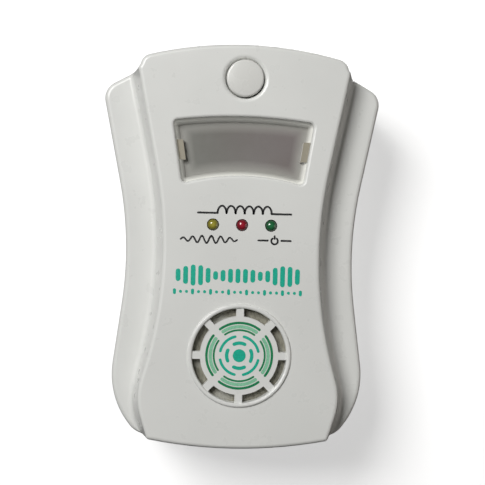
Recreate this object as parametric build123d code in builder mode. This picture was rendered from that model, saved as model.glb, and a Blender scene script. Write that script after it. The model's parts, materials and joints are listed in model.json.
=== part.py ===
"""Plug-in ultrasonic pest repeller with a push-button night light.

Frame: the device stands upright as it hangs in a wall socket. +Z is up, -Y is the front and +Y is the
wall. The origin is midway between the two plug pins, on the face of the plug insert that meets the socket.
Depths are measured forwards from that face, so a depth d lies at Y = -d.
"""

import os

from build123d import *

os.makedirs("parts", exist_ok=True)

# ---------------------------------------------------------------- driving dimensions, in millimetres

# Housing depths
BOSS_HEIGHT = 5.0  # how far the plug insert stands proud of the rear plane
SEAM_DEPTH = BOSS_HEIGHT + 9.0
TIER_DEPTH = BOSS_HEIGHT + 24.0
PANEL_DEPTH = TIER_DEPTH + 7.5
WALL = 2.0
PANEL_WALL = 2.2
PART_GAP = 0.05  # between two parts that rest against each other
LOOSE_GAP = 0.1  # between two parts that are put together loosely
PANEL_INSIDE = PANEL_DEPTH - PANEL_WALL
TIER_INSIDE = TIER_DEPTH - WALL
REAR_INSIDE = BOSS_HEIGHT + WALL

# Housing outline seen from the front: (x, z) corners of the right half, each with its rounding radius
TOP_Z = 53.0
BOTTOM_Z = -53.0
OUTLINE_CORNERS = (
    ((26.7, 49.4), 3.2),  # corner of the domed hump
    ((27.5, 46.7), 1.8),  # notch between hump and shoulder
    ((37.35, 41.35), 4.6),  # shoulder
    ((29.1, 0.6), 98.0),  # waist
    ((34.6, -40.5), 22.0),  # hip
    ((27.35, -49.95), 5.5),  # foot corner
)

# Raised panel: (x, z) corners of its right flank at the wall's foot and at its crest
FLANK_FOOT = ((29.4, 44.0), (19.5, -2.5), (28.9, -42.2), (25.3, -50.7))
FLANK_CREST = ((27.2, 44.0), (17.3, -7.0), (27.0, -39.5), (23.7, -50.5))
FOOT_RADII = (122.0, 17.0)
CREST_RADII = (110.0, 17.0)
FLANK_REACH = 70.0  # the flanks are drawn past the outline, which then trims them
FOOT_BLEND = 1.3
CREST_BLEND = 1.1
TIER_BLEND = 1.2
REAR_BLEND = 2.5
SEAM_BEVEL = 0.25

# Seam: a lip on the rear housing sits in a rebate of the front housing
LIP_THICKNESS = 0.8
LIP_HEIGHT = 1.8
REBATE = 1.0
REBATE_DEPTH = 2.0

# Push button
BUTTON_Z = 44.15
BUTTON_RADIUS = 4.9
BUTTON_GAP = 0.2
BUTTON_RISE = 0.9  # height of the cap's crown above the panel
BUTTON_DISH = 1.2
BUTTON_FLANGE_RADIUS = 6.2
BUTTON_GUIDE_RADIUS = 6.5
BUTTON_GUIDE_LENGTH = 3.5

# Night-light window
WINDOW_TOP_Z = 34.1
WINDOW_TOP_CORNER = (18.5, 32.8)
WINDOW_BOTTOM_CORNER = (15.9, 16.5)
WINDOW_BOTTOM_Z = 18.8
WINDOW_CORNER = 1.2
WINDOW_RIM = 0.8
LENS_FLANGE = 1.4  # how far the lens reaches past the opening

# Indicator lamps
LED_Z = 5.84
LED_PITCH = 7.62
LED_RADIUS = 1.5
LED_CLEARANCE = 0.1

# Sound grille
GRILLE_Z = -28.36
GRILLE_DISC_RADIUS = 10.3
GRILLE_SLOT_RADIUS = 12.4
GRILLE_RIM_RADIUS = 13.6
GRILLE_RIM_RISE = 0.6
GRILLE_RIM_ROUND = 0.5
SPOKE_COUNT = 8
SPOKE_WIDTH = 2.0
SPEAKER_RING_RADIUS = 13.8
SPEAKER_RING_LENGTH = 5.0

# Rings and posts moulded into the shells
RIB = 1.1
ROOT = 0.5  # how far a post or ring runs into the wall that it stands on

# Circuit board
BOARD_BACK = 16.0
BOARD_FRONT = BOARD_BACK + 1.6
BOARD_HALF_WIDTH = 20.5
BOARD_TOP = 49.0
BOARD_BOTTOM = -36.0
BOARD_CORNER = 3.0
BOARD_HOLE_RADIUS = 1.3
BOARD_POSTS = ((17.0, 41.5), (-17.0, 41.5), (17.5, -32.0), (-17.5, -32.0))
BOARD_POST_RADIUS = 2.4
BOARD_PILOT_RADIUS = 1.0
BOARD_PILOT_DEPTH = 8.0
BOARD_SCREW_RADIUS = 0.95
BOARD_SCREW_LENGTH = 7.0
BOARD_SCREW_HEAD_RADIUS = 2.2
BOARD_SCREW_HEAD = 1.5
BOARD_CROSS_LENGTH = 2.6
BOARD_CROSS_WIDTH = 0.5
BOARD_CROSS_DEPTH = 0.8

# Housing screws
SCREW_POSTS = ((28.5, 33.5), (-28.5, 33.5), (24.5, -42.5), (-24.5, -42.5))
SCREW_SEAT = 10.0
SCREW_LENGTH = 12.0
SCREW_RADIUS = 1.15
SCREW_CLEARANCE = 0.05
SCREW_HOLE_RADIUS = 1.6
SCREW_HEAD_RADIUS = 2.6
SCREW_HEAD_HEIGHT = 2.0
SCREW_WELL_RADIUS = 2.9
SCREW_POST_RADIUS = 3.2
SCREW_BOSS_RADIUS = 4.2
SCREW_PILOT_DEPTH = 10.0
CROSS_LENGTH = 3.2
CROSS_WIDTH = 0.6
CROSS_DEPTH = 1.2

# Mains plug
PIN_SPACING = 19.0
PIN_LENGTH = 19.0
PIN_RADIUS = 2.0
PIN_CORE_RADIUS = 1.3
PIN_TAIL = 1.5
PIN_TAIL_BEVEL = 0.4
PIN_TIP_ROUND = 1.4
SLEEVE_LENGTH = 10.0
SLEEVE_ROOT = 8.5  # how far the sleeve reaches into the insert
SLEEVE_RADIUS = 1.7
SLEEVE_CLEARANCE = 0.05
INSERT_WIDTH = 35.5
INSERT_HEIGHT = 14.0
INSERT_FLAT_HEIGHT = 6.0
INSERT_CORNER = 5.0
INSERT_ROUND = 1.5
INSERT_FACE_ROUND = 1.0
INSERT_BACK = 9.5
INSERT_FLANGE = 1.8
INSERT_FLANGE_THICKNESS = 1.6
INSERT_CLEARANCE = 0.15

# Vent slots above and below the plug
VENT_Z = 26.0
VENT_PITCH = 4.0
VENT_COUNT = 4
VENT_LENGTH = 26.0
VENT_WIDTH = 1.6


def at_depth(depth):
    """Sketch plane facing forwards, with local x along +X and local y along +Z."""
    return Plane.XZ.offset(depth)


def at_point(x, z, depth):
    """Forward-facing sketch plane whose origin is at (x, z)."""
    return Plane(origin=(x, -depth, z), x_dir=(1, 0, 0), z_dir=(0, -1, 0))


def corner_pair(sketch, corner):
    """The vertices of a sketch at (x, z) and at its mirror image (-x, z)."""
    x, z = corner
    return [v for v in sketch.vertices() if abs(abs(v.X) - x) < 0.01 and abs(v.Y - z) < 0.01]


def edges_at(part, depth):
    """The edges whose centres lie at a depth."""
    return [e for e in part.edges() if abs(e.center().Y + depth) < 0.01]


def mirrored(points):
    return [(-x, z) for x, z in points]


def save(part, name):
    part.label = name
    export_step(part, f"parts/{name}.step")


# ---------------------------------------------------------------- shared profiles

outline_points = [point for point, radius in OUTLINE_CORNERS]

with BuildSketch() as outline:
    with BuildLine():
        ThreePointArc(mirrored(outline_points)[0], (0, TOP_Z), outline_points[0])
        Polyline(*outline_points)
        ThreePointArc(outline_points[-1], (0, BOTTOM_Z), mirrored(outline_points)[-1])
        Polyline(*mirrored(outline_points))
    make_face()
    for point, radius in OUTLINE_CORNERS:
        fillet(corner_pair(outline, point), radius)


def flank_band(corners, radii):
    """An hourglass band: the two flanks of the panel, run on past the top and bottom of the housing."""
    top, waist, hip, foot = corners
    top_slope = (top[0] - waist[0]) / (top[1] - waist[1])
    foot_slope = (foot[0] - hip[0]) / (foot[1] - hip[1])
    upper = (waist[0] + top_slope * (FLANK_REACH - waist[1]), FLANK_REACH)
    lower = (hip[0] - foot_slope * (FLANK_REACH + hip[1]), -FLANK_REACH)
    right = (upper, waist, hip, lower)
    with BuildSketch() as band:
        with BuildLine():
            Polyline(*right, *reversed(mirrored(right)), close=True)
        make_face()
        fillet(corner_pair(band, waist), radii[0])
        fillet(corner_pair(band, hip), radii[1])
    return band.sketch


with BuildSketch() as window:
    with BuildLine():
        ThreePointArc(mirrored([WINDOW_TOP_CORNER])[0], (0, WINDOW_TOP_Z), WINDOW_TOP_CORNER)
        Line(WINDOW_TOP_CORNER, WINDOW_BOTTOM_CORNER)
        ThreePointArc(WINDOW_BOTTOM_CORNER, (0, WINDOW_BOTTOM_Z), mirrored([WINDOW_BOTTOM_CORNER])[0])
        Line(mirrored([WINDOW_BOTTOM_CORNER])[0], mirrored([WINDOW_TOP_CORNER])[0])
    make_face()
    fillet(window.vertices(), WINDOW_CORNER)


def inset(profile, distance):
    """A profile moved inwards by a distance, or outwards if it is negative."""
    with BuildSketch() as moved:
        add(profile)
        offset(amount=-distance, kind=Kind.INTERSECTION)
    return moved.sketch


outline_inside = inset(outline.sketch, WALL)

# ---------------------------------------------------------------- front housing

with BuildPart() as stepped_blank:
    with BuildSketch(at_depth(TIER_DEPTH)):
        add(flank_band(FLANK_FOOT, FOOT_RADII))
    with BuildSketch(at_depth(PANEL_DEPTH)):
        add(flank_band(FLANK_CREST, CREST_RADII))
    loft()
    with BuildSketch(at_depth(SEAM_DEPTH)):
        Rectangle(2 * FLANK_REACH, 2 * FLANK_REACH)
    extrude(amount=TIER_DEPTH - SEAM_DEPTH)
    tier_edges = edges_at(stepped_blank, TIER_DEPTH)
    inner_edges = [e for e in tier_edges if abs(e.center().X) < FLANK_REACH / 2]
    fillet([e for e in inner_edges if abs(e.center().Z) < FLANK_REACH - 1], FOOT_BLEND)


def tier_rim(part):
    """The tier's outer front edges, from the notch round the shoulder and the hip to the foot corner."""
    flat_edges = [e for e in edges_at(part, TIER_DEPTH) if e.bounding_box().size.Y < 0.01]
    side_walls = [f for f in part.faces() if abs(f.normal_at().Y) < 0.01]
    return [e for e in flat_edges if any(f.distance_to(e @ 0.5) < 0.001 for f in side_walls)]


with BuildPart() as front_housing:
    with BuildSketch(at_depth(SEAM_DEPTH)):
        add(outline.sketch)
    extrude(amount=PANEL_DEPTH - SEAM_DEPTH)
    add(stepped_blank.part, mode=Mode.INTERSECT)
    fillet(front_housing.faces().sort_by(Axis.Y)[0].edges(), CREST_BLEND)
    fillet(tier_rim(front_housing), TIER_BLEND)
    chamfer(front_housing.faces().sort_by(Axis.Y)[-1].edges(), SEAM_BEVEL)
    # cavity behind the tier, then behind the raised panel
    with BuildSketch(at_depth(SEAM_DEPTH)):
        add(outline_inside)
    extrude(amount=TIER_INSIDE - SEAM_DEPTH, mode=Mode.SUBTRACT)
    with BuildSketch(at_depth(TIER_INSIDE)):
        add(outline_inside)
        add(inset(flank_band(FLANK_CREST, CREST_RADII), PANEL_WALL), mode=Mode.INTERSECT)
    extrude(amount=PANEL_INSIDE - TIER_INSIDE, mode=Mode.SUBTRACT)
    with BuildSketch(at_depth(SEAM_DEPTH)):
        add(inset(outline.sketch, REBATE))
    extrude(amount=REBATE_DEPTH, mode=Mode.SUBTRACT)
    # raised rim of the grille, with a rounded crown
    with BuildSketch(at_point(0, GRILLE_Z, PANEL_DEPTH)):
        Circle(GRILLE_RIM_RADIUS)
        Circle(GRILLE_SLOT_RADIUS, mode=Mode.SUBTRACT)
    extrude(amount=GRILLE_RIM_RISE)
    fillet(front_housing.faces().sort_by(Axis.Y)[0].edges(), GRILLE_RIM_ROUND)
    # posts for the board screws and the housing screws
    with BuildSketch(at_depth(BOARD_FRONT)):
        with Locations(*BOARD_POSTS):
            Circle(BOARD_POST_RADIUS)
    extrude(amount=PANEL_INSIDE - BOARD_FRONT + ROOT)
    with BuildSketch(at_depth(SEAM_DEPTH)):
        with Locations(*SCREW_POSTS):
            Circle(SCREW_POST_RADIUS)
    extrude(amount=TIER_INSIDE - SEAM_DEPTH + ROOT)
    # guide for the button's flange and ring round the speaker
    with BuildSketch(at_point(0, BUTTON_Z, PANEL_INSIDE + ROOT)):
        Circle(BUTTON_GUIDE_RADIUS + RIB)
        Circle(BUTTON_GUIDE_RADIUS, mode=Mode.SUBTRACT)
    extrude(amount=-BUTTON_GUIDE_LENGTH - ROOT)
    with BuildSketch(at_point(0, GRILLE_Z, PANEL_INSIDE + ROOT)):
        Circle(SPEAKER_RING_RADIUS + RIB)
        Circle(SPEAKER_RING_RADIUS, mode=Mode.SUBTRACT)
    extrude(amount=-SPEAKER_RING_LENGTH - ROOT)
    # openings
    with BuildSketch(at_depth(PANEL_INSIDE)):
        add(window.sketch)
    extrude(amount=PANEL_WALL, mode=Mode.SUBTRACT)
    with BuildSketch(at_point(0, BUTTON_Z, PANEL_INSIDE)):
        Circle(BUTTON_RADIUS + BUTTON_GAP)
    extrude(amount=PANEL_WALL, mode=Mode.SUBTRACT)
    with BuildSketch(at_point(0, LED_Z, PANEL_INSIDE)):
        with GridLocations(LED_PITCH, 0, 3, 1):
            Circle(LED_RADIUS + LED_CLEARANCE)
    extrude(amount=PANEL_WALL, mode=Mode.SUBTRACT)
    with BuildSketch(at_point(0, GRILLE_Z, PANEL_INSIDE)):
        Circle(GRILLE_SLOT_RADIUS)
        Circle(GRILLE_DISC_RADIUS, mode=Mode.SUBTRACT)
        with PolarLocations(0, SPOKE_COUNT // 2, angular_range=180):
            Rectangle(2 * GRILLE_RIM_RADIUS, SPOKE_WIDTH, mode=Mode.SUBTRACT)
    extrude(amount=PANEL_WALL, mode=Mode.SUBTRACT)
    with BuildSketch(at_depth(BOARD_FRONT)):
        with Locations(*BOARD_POSTS):
            Circle(BOARD_PILOT_RADIUS)
    extrude(amount=BOARD_PILOT_DEPTH, mode=Mode.SUBTRACT)
    with BuildSketch(at_depth(SEAM_DEPTH)):
        with Locations(*SCREW_POSTS):
            Circle(SCREW_RADIUS + SCREW_CLEARANCE)
    extrude(amount=SCREW_PILOT_DEPTH, mode=Mode.SUBTRACT)
    # rounded edges of the openings in the panel
    panel_edges = edges_at(front_housing, PANEL_DEPTH)
    window_edges = [e for e in panel_edges if WINDOW_BOTTOM_CORNER[1] - 1 < e.center().Z < WINDOW_TOP_Z + 1]
    fillet([e for e in window_edges if abs(e.center().X) < WINDOW_TOP_CORNER[0] + 1], WINDOW_RIM)
    round_edges = front_housing.edges().filter_by(GeomType.CIRCLE)
    hole_edges = [e for e in round_edges if abs(e.radius - BUTTON_RADIUS - BUTTON_GAP) < 0.01]
    fillet([e for e in hole_edges if abs(e.center().Y + PANEL_DEPTH) < 0.01], BUTTON_DISH)
save(front_housing.part, "front_housing")

# ---------------------------------------------------------------- rear housing

with BuildSketch() as insert_profile:
    with BuildLine():
        Polyline(
            (INSERT_WIDTH / 2, INSERT_FLAT_HEIGHT / 2),
            (INSERT_WIDTH / 2 - INSERT_CORNER, INSERT_HEIGHT / 2),
            (-INSERT_WIDTH / 2 + INSERT_CORNER, INSERT_HEIGHT / 2),
            (-INSERT_WIDTH / 2, INSERT_FLAT_HEIGHT / 2),
            (-INSERT_WIDTH / 2, -INSERT_FLAT_HEIGHT / 2),
            (-INSERT_WIDTH / 2 + INSERT_CORNER, -INSERT_HEIGHT / 2),
            (INSERT_WIDTH / 2 - INSERT_CORNER, -INSERT_HEIGHT / 2),
            (INSERT_WIDTH / 2, -INSERT_FLAT_HEIGHT / 2),
            close=True,
        )
    make_face()
    fillet(insert_profile.vertices(), INSERT_ROUND)

with BuildPart() as rear_housing:
    with BuildSketch(at_depth(BOSS_HEIGHT)):
        add(outline.sketch)
    extrude(amount=SEAM_DEPTH - BOSS_HEIGHT)
    fillet(rear_housing.faces().sort_by(Axis.Y)[-1].edges(), REAR_BLEND)
    chamfer(rear_housing.faces().sort_by(Axis.Y)[0].edges(), SEAM_BEVEL)
    with BuildSketch(at_depth(REAR_INSIDE)):
        add(outline_inside)
    extrude(amount=SEAM_DEPTH - REAR_INSIDE, mode=Mode.SUBTRACT)
    # lip that enters the front housing's rebate
    with BuildSketch(at_depth(REAR_INSIDE)):
        add(inset(outline.sketch, WALL - LIP_THICKNESS))
        add(inset(outline.sketch, WALL), mode=Mode.SUBTRACT)
    extrude(amount=SEAM_DEPTH + LIP_HEIGHT - REAR_INSIDE)
    with BuildSketch(at_depth(REAR_INSIDE)):
        with Locations(*SCREW_POSTS):
            Circle(SCREW_BOSS_RADIUS)
    extrude(amount=SEAM_DEPTH - REAR_INSIDE - LOOSE_GAP)
    with BuildSketch(at_depth(BOSS_HEIGHT)):
        with Locations(*SCREW_POSTS):
            Circle(SCREW_WELL_RADIUS)
    extrude(amount=SCREW_SEAT - BOSS_HEIGHT, mode=Mode.SUBTRACT)
    with BuildSketch(at_depth(BOSS_HEIGHT)):
        with Locations(*SCREW_POSTS):
            Circle(SCREW_HOLE_RADIUS)
    extrude(amount=SEAM_DEPTH - BOSS_HEIGHT, mode=Mode.SUBTRACT)
    with BuildSketch(at_depth(BOSS_HEIGHT)):
        add(inset(insert_profile.sketch, -INSERT_CLEARANCE))
    extrude(amount=WALL, mode=Mode.SUBTRACT)
    # vent slots above and below the plug
    with BuildSketch(at_depth(BOSS_HEIGHT)):
        with Locations((0, VENT_Z), (0, -VENT_Z)):
            with GridLocations(0, VENT_PITCH, 1, VENT_COUNT):
                SlotOverall(VENT_LENGTH, VENT_WIDTH)
    extrude(amount=WALL, mode=Mode.SUBTRACT)
save(rear_housing.part, "rear_housing")

with BuildPart() as housing_screws:
    for x, z in SCREW_POSTS:
        with BuildSketch(at_point(x, z, SCREW_SEAT)):
            Circle(SCREW_HEAD_RADIUS)
        extrude(amount=-SCREW_HEAD_HEIGHT)
        with BuildSketch(at_point(x, z, SCREW_SEAT)):
            Circle(SCREW_RADIUS)
        extrude(amount=SCREW_LENGTH)
        with BuildSketch(at_point(x, z, SCREW_SEAT - SCREW_HEAD_HEIGHT)):
            Rectangle(CROSS_LENGTH, CROSS_WIDTH)
            Rectangle(CROSS_WIDTH, CROSS_LENGTH)
        extrude(amount=CROSS_DEPTH, mode=Mode.SUBTRACT)
save(housing_screws.part, "housing_screws")

# ---------------------------------------------------------------- mains plug

with BuildPart() as plug_insert:
    with BuildSketch(at_depth(0)):
        add(insert_profile.sketch)
    extrude(amount=INSERT_BACK)
    fillet(plug_insert.faces().sort_by(Axis.Y)[-1].edges(), INSERT_FACE_ROUND)
    with BuildSketch(at_depth(REAR_INSIDE + PART_GAP)):
        add(inset(insert_profile.sketch, -INSERT_FLANGE))
    extrude(amount=INSERT_FLANGE_THICKNESS)
    with BuildSketch(at_depth(0)):
        with GridLocations(PIN_SPACING, 0, 2, 1):
            Circle(SLEEVE_RADIUS + SLEEVE_CLEARANCE)
    extrude(amount=INSERT_BACK, mode=Mode.SUBTRACT)
save(plug_insert.part, "plug_insert")


def pin_profile(x):
    """Half section of one plug pin in the horizontal plane, about its own axis at x."""
    return (
        (x, PIN_LENGTH),
        (x + PIN_RADIUS, PIN_LENGTH),
        (x + PIN_RADIUS, SLEEVE_LENGTH + SLEEVE_CLEARANCE),
        (x + PIN_CORE_RADIUS, SLEEVE_LENGTH + SLEEVE_CLEARANCE),
        (x + PIN_CORE_RADIUS, -INSERT_BACK),
        (x + PIN_CORE_RADIUS - PIN_TAIL_BEVEL, -INSERT_BACK - PIN_TAIL),
        (x, -INSERT_BACK - PIN_TAIL),
    )


def plug_pin(x):
    """One plug pin: a thick bare tip, a thin core inside the sleeve and a tail for the lead."""
    with BuildPart() as pin:
        with BuildSketch(Plane.XY):
            with BuildLine():
                Polyline(*pin_profile(x), close=True)
            make_face()
        revolve(axis=Axis((x, 0, 0), (0, 1, 0)))
        fillet(pin.faces().sort_by(Axis.Y)[-1].edges(), PIN_TIP_ROUND)
    return pin.part


def pin_sleeve(x):
    """The insulating sleeve on the inner part of one plug pin."""
    with BuildPart() as sleeve:
        with BuildSketch(at_point(x, 0, -SLEEVE_LENGTH)):
            Circle(SLEEVE_RADIUS)
            Circle(PIN_CORE_RADIUS + SLEEVE_CLEARANCE, mode=Mode.SUBTRACT)
        extrude(amount=SLEEVE_LENGTH + SLEEVE_ROOT)
    return sleeve.part


LEAD_RADIUS = 0.8
LEAD_BEND = 1.4
LEAD_BACK = 13.2  # depth of the run that goes up behind the board
LEAD_PAD = (16.5, 10.0)


def mains_lead(side):
    """From the tail of a plug pin, up beside it and on to the back of the board."""
    pin_x = side * PIN_SPACING / 2
    pad_x = side * LEAD_PAD[0]
    with BuildPart() as lead:
        with BuildLine():
            run = FilletPolyline(
                (pin_x, -INSERT_BACK - PIN_TAIL, 0),
                (pin_x, -LEAD_BACK, 0),
                (pad_x, -LEAD_BACK, LEAD_PAD[1]),
                (pad_x, -BOARD_BACK, LEAD_PAD[1]),
                radius=LEAD_BEND,
            )
        with BuildSketch(Plane(origin=run @ 0, z_dir=run % 0)):
            Circle(LEAD_RADIUS)
        sweep()
    return lead.part


for name, side in (("left", -1), ("right", 1)):
    save(plug_pin(side * PIN_SPACING / 2), f"plug_pin_{name}")
    save(pin_sleeve(side * PIN_SPACING / 2), f"pin_sleeve_{name}")
    save(mains_lead(side), f"mains_lead_{name}")

# ---------------------------------------------------------------- push button and its switch

FLANGE_FRONT = PANEL_INSIDE - LOOSE_GAP
FLANGE_BACK = FLANGE_FRONT - 1.0
STEM_RADIUS = 2.2
STEM_END = 27.3
CROWN_FRONT = PANEL_DEPTH + BUTTON_RISE
CROWN_DROP = 0.45
CROWN_RADIUS = 33.0
CROWN_ROUND = 0.6
CROWN_MARGIN = 0.5  # how far the tool that cuts the crown reaches past the cap's side
CROWN_CUT = 2.0  # and past its front
SWITCH_FRONT = 25.6
SWITCH_SIZE = 8.0
SWITCH_BEVEL = 0.3
PLUNGER_SIZE = 3.8
PLUNGER_CLEARANCE = 0.2
PLUNGER_BACK = 22.6
SWITCH_FLOOR = 18.2
SPRING_RADIUS = 1.3
SPRING_WIRE_RADIUS = 0.2
SPRING_TURNS = 4

with BuildPart() as button_cap:
    with BuildSketch(at_point(0, BUTTON_Z, FLANGE_BACK)):
        Circle(BUTTON_FLANGE_RADIUS)
    extrude(amount=FLANGE_FRONT - FLANGE_BACK)
    with BuildSketch(at_point(0, BUTTON_Z, FLANGE_BACK)):
        Circle(BUTTON_RADIUS)
    extrude(amount=CROWN_FRONT - FLANGE_BACK)
    # what lies in front of the shallow dome is turned away
    rim_z = BUTTON_Z + BUTTON_RADIUS + CROWN_MARGIN
    with BuildSketch(Plane.YZ):
        with BuildLine():
            RadiusArc((-CROWN_FRONT, BUTTON_Z), (-CROWN_FRONT + CROWN_DROP, rim_z), CROWN_RADIUS)
            Polyline(
                (-CROWN_FRONT + CROWN_DROP, rim_z),
                (-CROWN_FRONT - CROWN_CUT, rim_z),
                (-CROWN_FRONT - CROWN_CUT, BUTTON_Z),
                (-CROWN_FRONT, BUTTON_Z),
            )
        make_face()
    revolve(axis=Axis((0, 0, BUTTON_Z), (0, 1, 0)), mode=Mode.SUBTRACT)
    fillet(button_cap.faces().sort_by(Axis.Y)[0].edges(), CROWN_ROUND)
    with BuildSketch(at_point(0, BUTTON_Z, STEM_END)):
        Circle(STEM_RADIUS)
    extrude(amount=FLANGE_BACK - STEM_END)
save(button_cap.part, "button_cap")

with BuildPart() as switch_body:
    with BuildSketch(at_point(0, BUTTON_Z, BOARD_FRONT)):
        Rectangle(SWITCH_SIZE, SWITCH_SIZE)
    extrude(amount=SWITCH_FRONT - BOARD_FRONT)
    with BuildSketch(at_point(0, BUTTON_Z, SWITCH_FLOOR)):
        Rectangle(PLUNGER_SIZE + 2 * PLUNGER_CLEARANCE, PLUNGER_SIZE + 2 * PLUNGER_CLEARANCE)
    extrude(amount=SWITCH_FRONT - SWITCH_FLOOR, mode=Mode.SUBTRACT)
    chamfer(switch_body.faces().sort_by(Axis.Y)[0].outer_wire().edges(), SWITCH_BEVEL)
save(switch_body.part, "switch_body")

with BuildPart() as switch_plunger:
    with BuildSketch(at_point(0, BUTTON_Z, PLUNGER_BACK)):
        Rectangle(PLUNGER_SIZE, PLUNGER_SIZE)
    extrude(amount=STEM_END - PLUNGER_BACK)
    chamfer(switch_plunger.faces().sort_by(Axis.Y)[0].edges(), SWITCH_BEVEL)
save(switch_plunger.part, "switch_plunger")

with BuildPart() as switch_spring:
    spring_start = SWITCH_FLOOR + SPRING_WIRE_RADIUS + PART_GAP
    spring_height = PLUNGER_BACK - SWITCH_FLOOR - 2 * (SPRING_WIRE_RADIUS + PART_GAP)
    with BuildLine():
        coil = Helix(
            pitch=spring_height / SPRING_TURNS,
            height=spring_height,
            radius=SPRING_RADIUS,
            center=(0, -spring_start, BUTTON_Z),
            direction=(0, -1, 0),
        )
    with BuildSketch(Plane(origin=coil @ 0, z_dir=coil % 0)):
        Circle(SPRING_WIRE_RADIUS)
    sweep(is_frenet=True)
save(switch_spring.part, "switch_spring")

# ---------------------------------------------------------------- night light

LENS_RIM_FRONT = PANEL_INSIDE - PART_GAP
LENS_FACE = LENS_RIM_FRONT - 1.2
LENS_BACK = LENS_FACE - 1.4
LENS_RIM = 0.3
LENS_SLOPE = 1.3
TAB_HEIGHT = 5.2
TAB_WIDTH = 1.7
TAB_RISE = 0.7
TAB_Z = 25.3
TAB_CLEARANCE = 0.15
REFLECTOR_BACK = 22.0
REFLECTOR_WALL = 1.2
REFLECTOR_MARGIN = 0.8  # how far the reflector reaches past the opening
NIGHT_BOARD_BACK = 19.0
NIGHT_BOARD_THICKNESS = 1.2
NIGHT_BOARD_WIDTH = 31.0
NIGHT_BOARD_HEIGHT = 9.0
NIGHT_LED_X = (-11.0, -3.7, 3.7, 11.0)
NIGHT_LED_Z = 25.5
NIGHT_LED_RADIUS = 2.5
NIGHT_LED_CLEARANCE = 0.2
NIGHT_LED_FLANGE_RADIUS = 2.9
NIGHT_LED_FLANGE = 1.0
NIGHT_LED_LENGTH = 6.0
SPACER_X = 13.5
SPACER_RADIUS = 1.5
TIP_FLAT = 0.2  # radius left flat at the tip of a lamp

with BuildPart() as window_lens:
    with BuildSketch(at_depth(LENS_BACK)):
        add(inset(window.sketch, -LENS_FLANGE))
    extrude(amount=LENS_RIM_FRONT - LENS_BACK)
    # dished centre with sloping sides
    with BuildSketch(at_depth(LENS_FACE)):
        add(inset(window.sketch, LENS_SLOPE))
    with BuildSketch(at_depth(LENS_RIM_FRONT)):
        add(inset(window.sketch, LENS_RIM))
    loft(mode=Mode.SUBTRACT)
    # snap tabs that stand on the rim at both ends of the window
    top_x, top_z = WINDOW_TOP_CORNER
    bottom_x, bottom_z = WINDOW_BOTTOM_CORNER
    side_slope = (top_x - bottom_x) / (top_z - bottom_z)
    tab_low = TAB_Z - TAB_HEIGHT / 2
    tab_high = TAB_Z + TAB_HEIGHT / 2
    low_x = bottom_x + side_slope * (tab_low - bottom_z) - TAB_CLEARANCE
    high_x = low_x + side_slope * TAB_HEIGHT
    with BuildSketch(at_depth(LENS_FACE)):
        with BuildLine():
            Polyline(
                (low_x, tab_low),
                (high_x, tab_high),
                (high_x - TAB_WIDTH, tab_high),
                (low_x - TAB_WIDTH, tab_low),
                close=True,
            )
        make_face()
        mirror(about=Plane.YZ)
    extrude(amount=PANEL_INSIDE + TAB_RISE - LENS_FACE)
save(window_lens.part, "window_lens")

with BuildPart() as light_reflector:
    with BuildSketch(at_depth(REFLECTOR_BACK)):
        add(inset(window.sketch, -REFLECTOR_MARGIN))
    extrude(amount=LENS_BACK - PART_GAP - REFLECTOR_BACK)
    with BuildSketch(at_depth(REFLECTOR_BACK + REFLECTOR_WALL)):
        add(inset(window.sketch, REFLECTOR_WALL - REFLECTOR_MARGIN))
    extrude(amount=LENS_BACK - REFLECTOR_BACK, mode=Mode.SUBTRACT)
    with BuildSketch(at_depth(REFLECTOR_BACK)):
        with Locations(*[(x, NIGHT_LED_Z) for x in NIGHT_LED_X]):
            Circle(NIGHT_LED_RADIUS + NIGHT_LED_CLEARANCE)
    extrude(amount=REFLECTOR_WALL, mode=Mode.SUBTRACT)
save(light_reflector.part, "light_reflector")

with BuildPart() as night_light_board:
    with BuildSketch(at_depth(NIGHT_BOARD_BACK)):
        with Locations((0, NIGHT_LED_Z)):
            Rectangle(NIGHT_BOARD_WIDTH, NIGHT_BOARD_HEIGHT)
    extrude(amount=NIGHT_BOARD_THICKNESS)
save(night_light_board.part, "night_light_board")

with BuildPart() as board_spacers:
    for x in (-SPACER_X, SPACER_X):
        with BuildSketch(at_point(x, NIGHT_LED_Z, BOARD_FRONT)):
            Circle(SPACER_RADIUS)
        extrude(amount=NIGHT_BOARD_BACK - BOARD_FRONT)
save(board_spacers.part, "board_spacers")

with BuildPart() as night_light_leds:
    lamp_foot = NIGHT_BOARD_BACK + NIGHT_BOARD_THICKNESS
    lamp_tip = lamp_foot + NIGHT_LED_FLANGE + NIGHT_LED_LENGTH
    for x in NIGHT_LED_X:
        with BuildSketch(at_point(x, NIGHT_LED_Z, lamp_foot)):
            Circle(NIGHT_LED_FLANGE_RADIUS)
        extrude(amount=NIGHT_LED_FLANGE)
        with BuildSketch(at_point(x, NIGHT_LED_Z, lamp_foot + NIGHT_LED_FLANGE)):
            Circle(NIGHT_LED_RADIUS)
        extrude(amount=NIGHT_LED_LENGTH)
    fillet(edges_at(night_light_leds, lamp_tip), NIGHT_LED_RADIUS - TIP_FLAT)
save(night_light_leds.part, "night_light_leds")

# ---------------------------------------------------------------- indicator lamps

LED_TIP = PANEL_DEPTH + 0.7
LED_LENGTH = 5.3
LED_FLANGE_RADIUS = 1.95
LED_FLANGE = 1.0
LEAD_WIDTH = 0.5
LEAD_OFFSET = 1.27


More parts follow.
